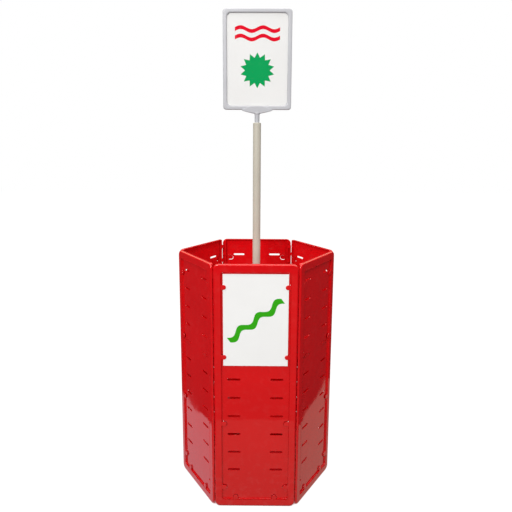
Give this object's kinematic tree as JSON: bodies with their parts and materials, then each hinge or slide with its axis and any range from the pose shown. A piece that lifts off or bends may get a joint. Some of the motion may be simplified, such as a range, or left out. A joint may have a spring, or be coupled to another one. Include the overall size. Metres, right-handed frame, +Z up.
{
  "type": "retail dump bin",
  "caption": "Hexagonal shop dump bin of hinged moulded panels with slot rows, an adjustable shelf and a poster frame on a central pole.",
  "frame": {"origin": "on the floor, on the pole's axis in the middle of the hexagon", "axes": "+Z up along the pole, -Y to the front panel with the notice sheet"},
  "size_m": [0.5462, 0.4808, 1.6376],
  "materials": {
    "panel_red": "glossy moulded red",
    "pole_grey": "satin warm light grey",
    "fitting_grey": "satin light grey",
    "clear_film": "clear film",
    "paper": "matt white card"
  },
  "bodies": {
    "back": {"panel_back": "panel_red", "shelf_clip_back_1": "panel_red", "shelf_clip_back_2": "panel_red"},
    "back_left": {"panel_back_left": "panel_red", "shelf_clip_back_left_1": "panel_red", "shelf_clip_back_left_2": "panel_red"},
    "front_left": {"panel_front_left": "panel_red", "shelf_clip_front_left_1": "panel_red", "shelf_clip_front_left_2": "panel_red"},
    "front": {"panel_front": "panel_red", "shelf_clip_front_1": "panel_red", "shelf_clip_front_2": "panel_red", "front_sheet": "paper"},
    "back_right": {"panel_back_right": "panel_red", "shelf_clip_back_right_1": "panel_red", "shelf_clip_back_right_2": "panel_red"},
    "front_right": {"panel_front_right": "panel_red", "shelf_clip_front_right_1": "panel_red", "shelf_clip_front_right_2": "panel_red"},
    "shelf": {"shelf": "panel_red"},
    "pole": {"pole_tube": "pole_grey", "pole_foot_plug": "fitting_grey", "pole_top_bush": "pole_grey"},
    "sign": {"sign_holder": "fitting_grey", "poster_frame": "fitting_grey", "poster_film": "clear_film"},
    "poster": {"poster_sheet": "paper"}
  },
  "joints": [
    {"name": "hinge_back_left", "type": "hinge", "parent": "back", "child": "back_left", "pos_m": [-0.13275, 0.22993, 0.4], "axis": [0, 0, -1], "range_deg": [0, 30]},
    {"name": "hinge_left", "type": "hinge", "parent": "back_left", "child": "front_left", "pos_m": [-0.2655, 0, 0.4], "axis": [0, 0, -1], "range_deg": [0, 30]},
    {"name": "hinge_front_left", "type": "hinge", "parent": "front_left", "child": "front", "pos_m": [-0.13275, -0.22993, 0.4], "axis": [0, 0, -1], "range_deg": [0, 30]},
    {"name": "hinge_back_right", "type": "hinge", "parent": "back", "child": "back_right", "pos_m": [0.13275, 0.22993, 0.4], "axis": [0, 0, 1], "range_deg": [0, 30]},
    {"name": "hinge_right", "type": "hinge", "parent": "back_right", "child": "front_right", "pos_m": [0.2655, 0, 0.4], "axis": [0, 0, 1], "range_deg": [0, 30]},
    {"name": "shelf_lift", "type": "slide", "parent": "back", "child": "shelf", "axis": [0, 0, 1], "range_m": [0, 0.38]},
    {"name": "pole_lift", "type": "slide", "parent": "shelf", "child": "pole", "axis": [0, 0, 1], "range_m": [0, 0.078]},
    {"name": "sign_swivel", "type": "hinge", "parent": "pole", "child": "sign", "pos_m": [0, 0, 1.276], "axis": [0, 0, 1], "continuous": true},
    {"name": "poster_slide", "type": "slide", "parent": "sign", "child": "poster", "axis": [0, 0, 1], "range_m": [0, 0.3]}
  ]
}
